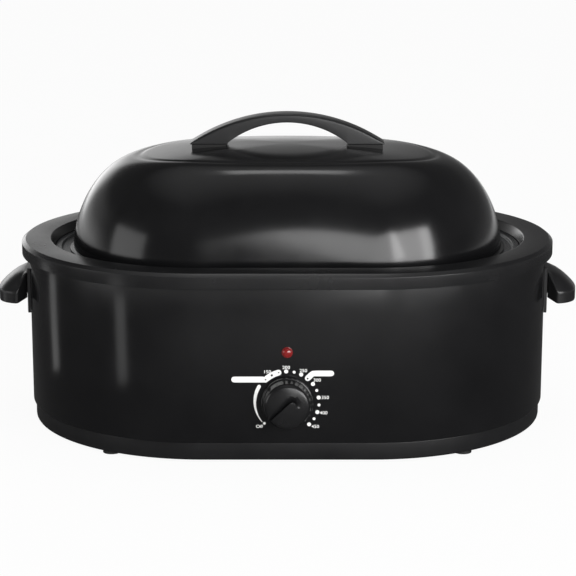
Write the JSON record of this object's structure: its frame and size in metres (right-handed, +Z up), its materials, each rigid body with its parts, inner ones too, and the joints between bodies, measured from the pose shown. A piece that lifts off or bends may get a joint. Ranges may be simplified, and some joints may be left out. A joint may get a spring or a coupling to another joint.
{
  "type": "electric roaster oven",
  "caption": "Oval countertop roaster oven with a loose high-dome lid, a lift-out pan and rack, side handles and a front dial.",
  "frame": {"origin": "on the table under the centre of the bounding box, with the feet's soles at zero height", "axes": "+Z up, the dial faces -Y, +X to the right seen from the front"},
  "size_m": [0.605, 0.406, 0.3193],
  "materials": {
    "black_enamel": "glossy black enamel on steel",
    "pan_enamel": "dark porcelain enamel",
    "aluminised_steel": "aluminised steel sheet, dull",
    "zinc_steel": "zinc-plated steel",
    "rack_chrome": "nickel-chrome plated wire",
    "nut_brass": "plain brass",
    "black_plastic": "satin black moulded phenolic",
    "gloss_black_plastic": "polished black moulding",
    "ivory_plastic": "heat-resistant moulding",
    "red_lens": "dark red moulded lens",
    "heater_band": "mica-backed heating band",
    "glass_fibre": "glass-fibre blanket",
    "black_rubber": "moulded rubber"
  },
  "bodies": {
    "housing": {"outer_body": "black_enamel", "top_rim": "black_plastic", "rim_screws": "zinc_steel", "base_ring": "black_plastic", "bottom_plate": "zinc_steel", "base_screws": "zinc_steel", "feet": "black_rubber", "heating_well": "aluminised_steel", "heating_band": "heater_band", "band_clips": "zinc_steel", "insulation_blanket": "glass_fibre", "left_handle_bracket": "black_plastic", "right_handle_bracket": "black_plastic", "left_handle_grip": "black_plastic", "right_handle_grip": "black_plastic", "handle_screws": "zinc_steel", "thermostat": "ivory_plastic", "thermostat_bracket": "zinc_steel", "thermostat_nut": "nut_brass", "indicator_lens": "red_lens", "indicator_lamp": "ivory_plastic", "terminal_block": "ivory_plastic", "thermal_fuse": "aluminised_steel", "cord_gland": "black_plastic", "gland_nut": "black_plastic"},
    "pan": {"cooking_pan": "pan_enamel"},
    "rack": {"roasting_rack": "rack_chrome"},
    "lid": {"lid_shell": "black_enamel", "lid_handle": "black_plastic", "lid_handle_gaskets": "black_rubber", "lid_handle_screws": "zinc_steel"},
    "knob": {"control_knob": "gloss_black_plastic", "thermostat_shaft": "zinc_steel"}
  },
  "joints": [
    {"name": "pan_lift", "type": "slide", "parent": "housing", "child": "pan", "axis": [0, 0, 1], "range_m": [0, 0.16]},
    {"name": "rack_lift", "type": "slide", "parent": "pan", "child": "rack", "axis": [0, 0, 1], "range_m": [0, 0.15]},
    {"name": "lid_lift", "type": "slide", "parent": "rack", "child": "lid", "axis": [0, 0, 1], "range_m": [0, 0.12]},
    {"name": "knob_turn", "type": "hinge", "parent": "housing", "child": "knob", "pos_m": [0, -0.186, 0.063], "axis": [0, 1, 0], "range_deg": [0, 270]}
  ]
}
